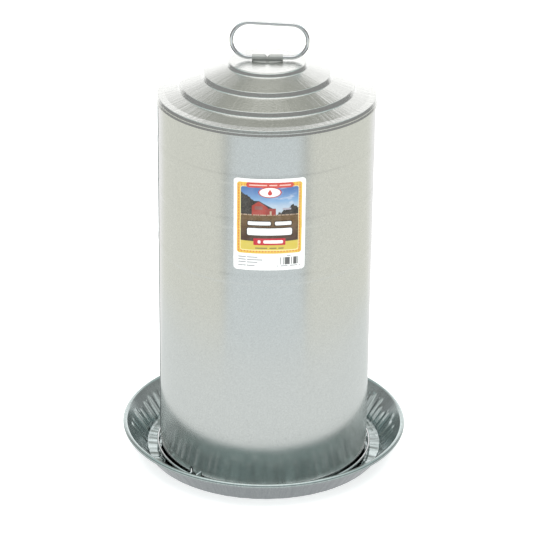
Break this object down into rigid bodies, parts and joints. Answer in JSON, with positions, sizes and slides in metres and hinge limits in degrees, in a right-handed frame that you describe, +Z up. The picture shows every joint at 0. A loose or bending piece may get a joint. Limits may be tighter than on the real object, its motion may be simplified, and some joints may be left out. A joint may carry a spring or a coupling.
{
  "type": "poultry waterer fount",
  "caption": "Double-wall vacuum fount for poultry: a galvanised shell lifts off an inner tank in a drinking pan, with a bail handle and a wire valve lever.",
  "frame": {"origin": "middle of the flat underside of the pan", "axes": "+Z up, -Y is the front with the label, +X to the right; the handle's loop lies in the XZ plane"},
  "size_m": [0.4166, 0.4166, 0.6594],
  "materials": {
    "galvanised_sheet": "bright galvanised sheet, semi-gloss",
    "steel_wire": "galvanised wire, semi-gloss",
    "solder": "dull tin solder",
    "brass": "dull brass",
    "rubber": "matt black rubber",
    "label_paper": "printed paper, satin"
  },
  "bodies": {
    "base": {"pan": "galvanised_sheet", "pan_rim_wire": "steel_wire", "tank_wall": "galvanised_sheet", "tank_rim_wire": "steel_wire", "tank_bottom": "galvanised_sheet", "foot_solder": "solder", "rest_lugs": "galvanised_sheet", "valve_seat": "brass", "hinge_bracket": "galvanised_sheet", "bracket_rivets": "steel_wire"},
    "valve_lever": {"valve_hoop": "steel_wire", "valve_arm": "galvanised_sheet", "stopper": "rubber", "stopper_rivet": "steel_wire"},
    "shell": {"shell_wall": "galvanised_sheet", "roof": "galvanised_sheet", "seam_gasket": "rubber", "handle_clip": "galvanised_sheet", "clip_rivets": "steel_wire", "label": "label_paper"},
    "handle_bail": {"handle": "steel_wire"}
  },
  "joints": [
    {"name": "valve_lever_hinge", "type": "hinge", "parent": "base", "child": "valve_lever", "pos_m": [-0.0955, -0.11241, 0.016], "axis": [0.7621, -0.6475, 0], "range_deg": [0, 7]},
    {"name": "shell_lift", "type": "slide", "parent": "base", "child": "shell", "axis": [0, 0, 1], "range_m": [0, 0.56]},
    {"name": "handle_swing", "type": "hinge", "parent": "shell", "child": "handle_bail", "pos_m": [0, 0, 0.606], "axis": [1, 0, 0], "range_deg": [-90, 90]}
  ]
}
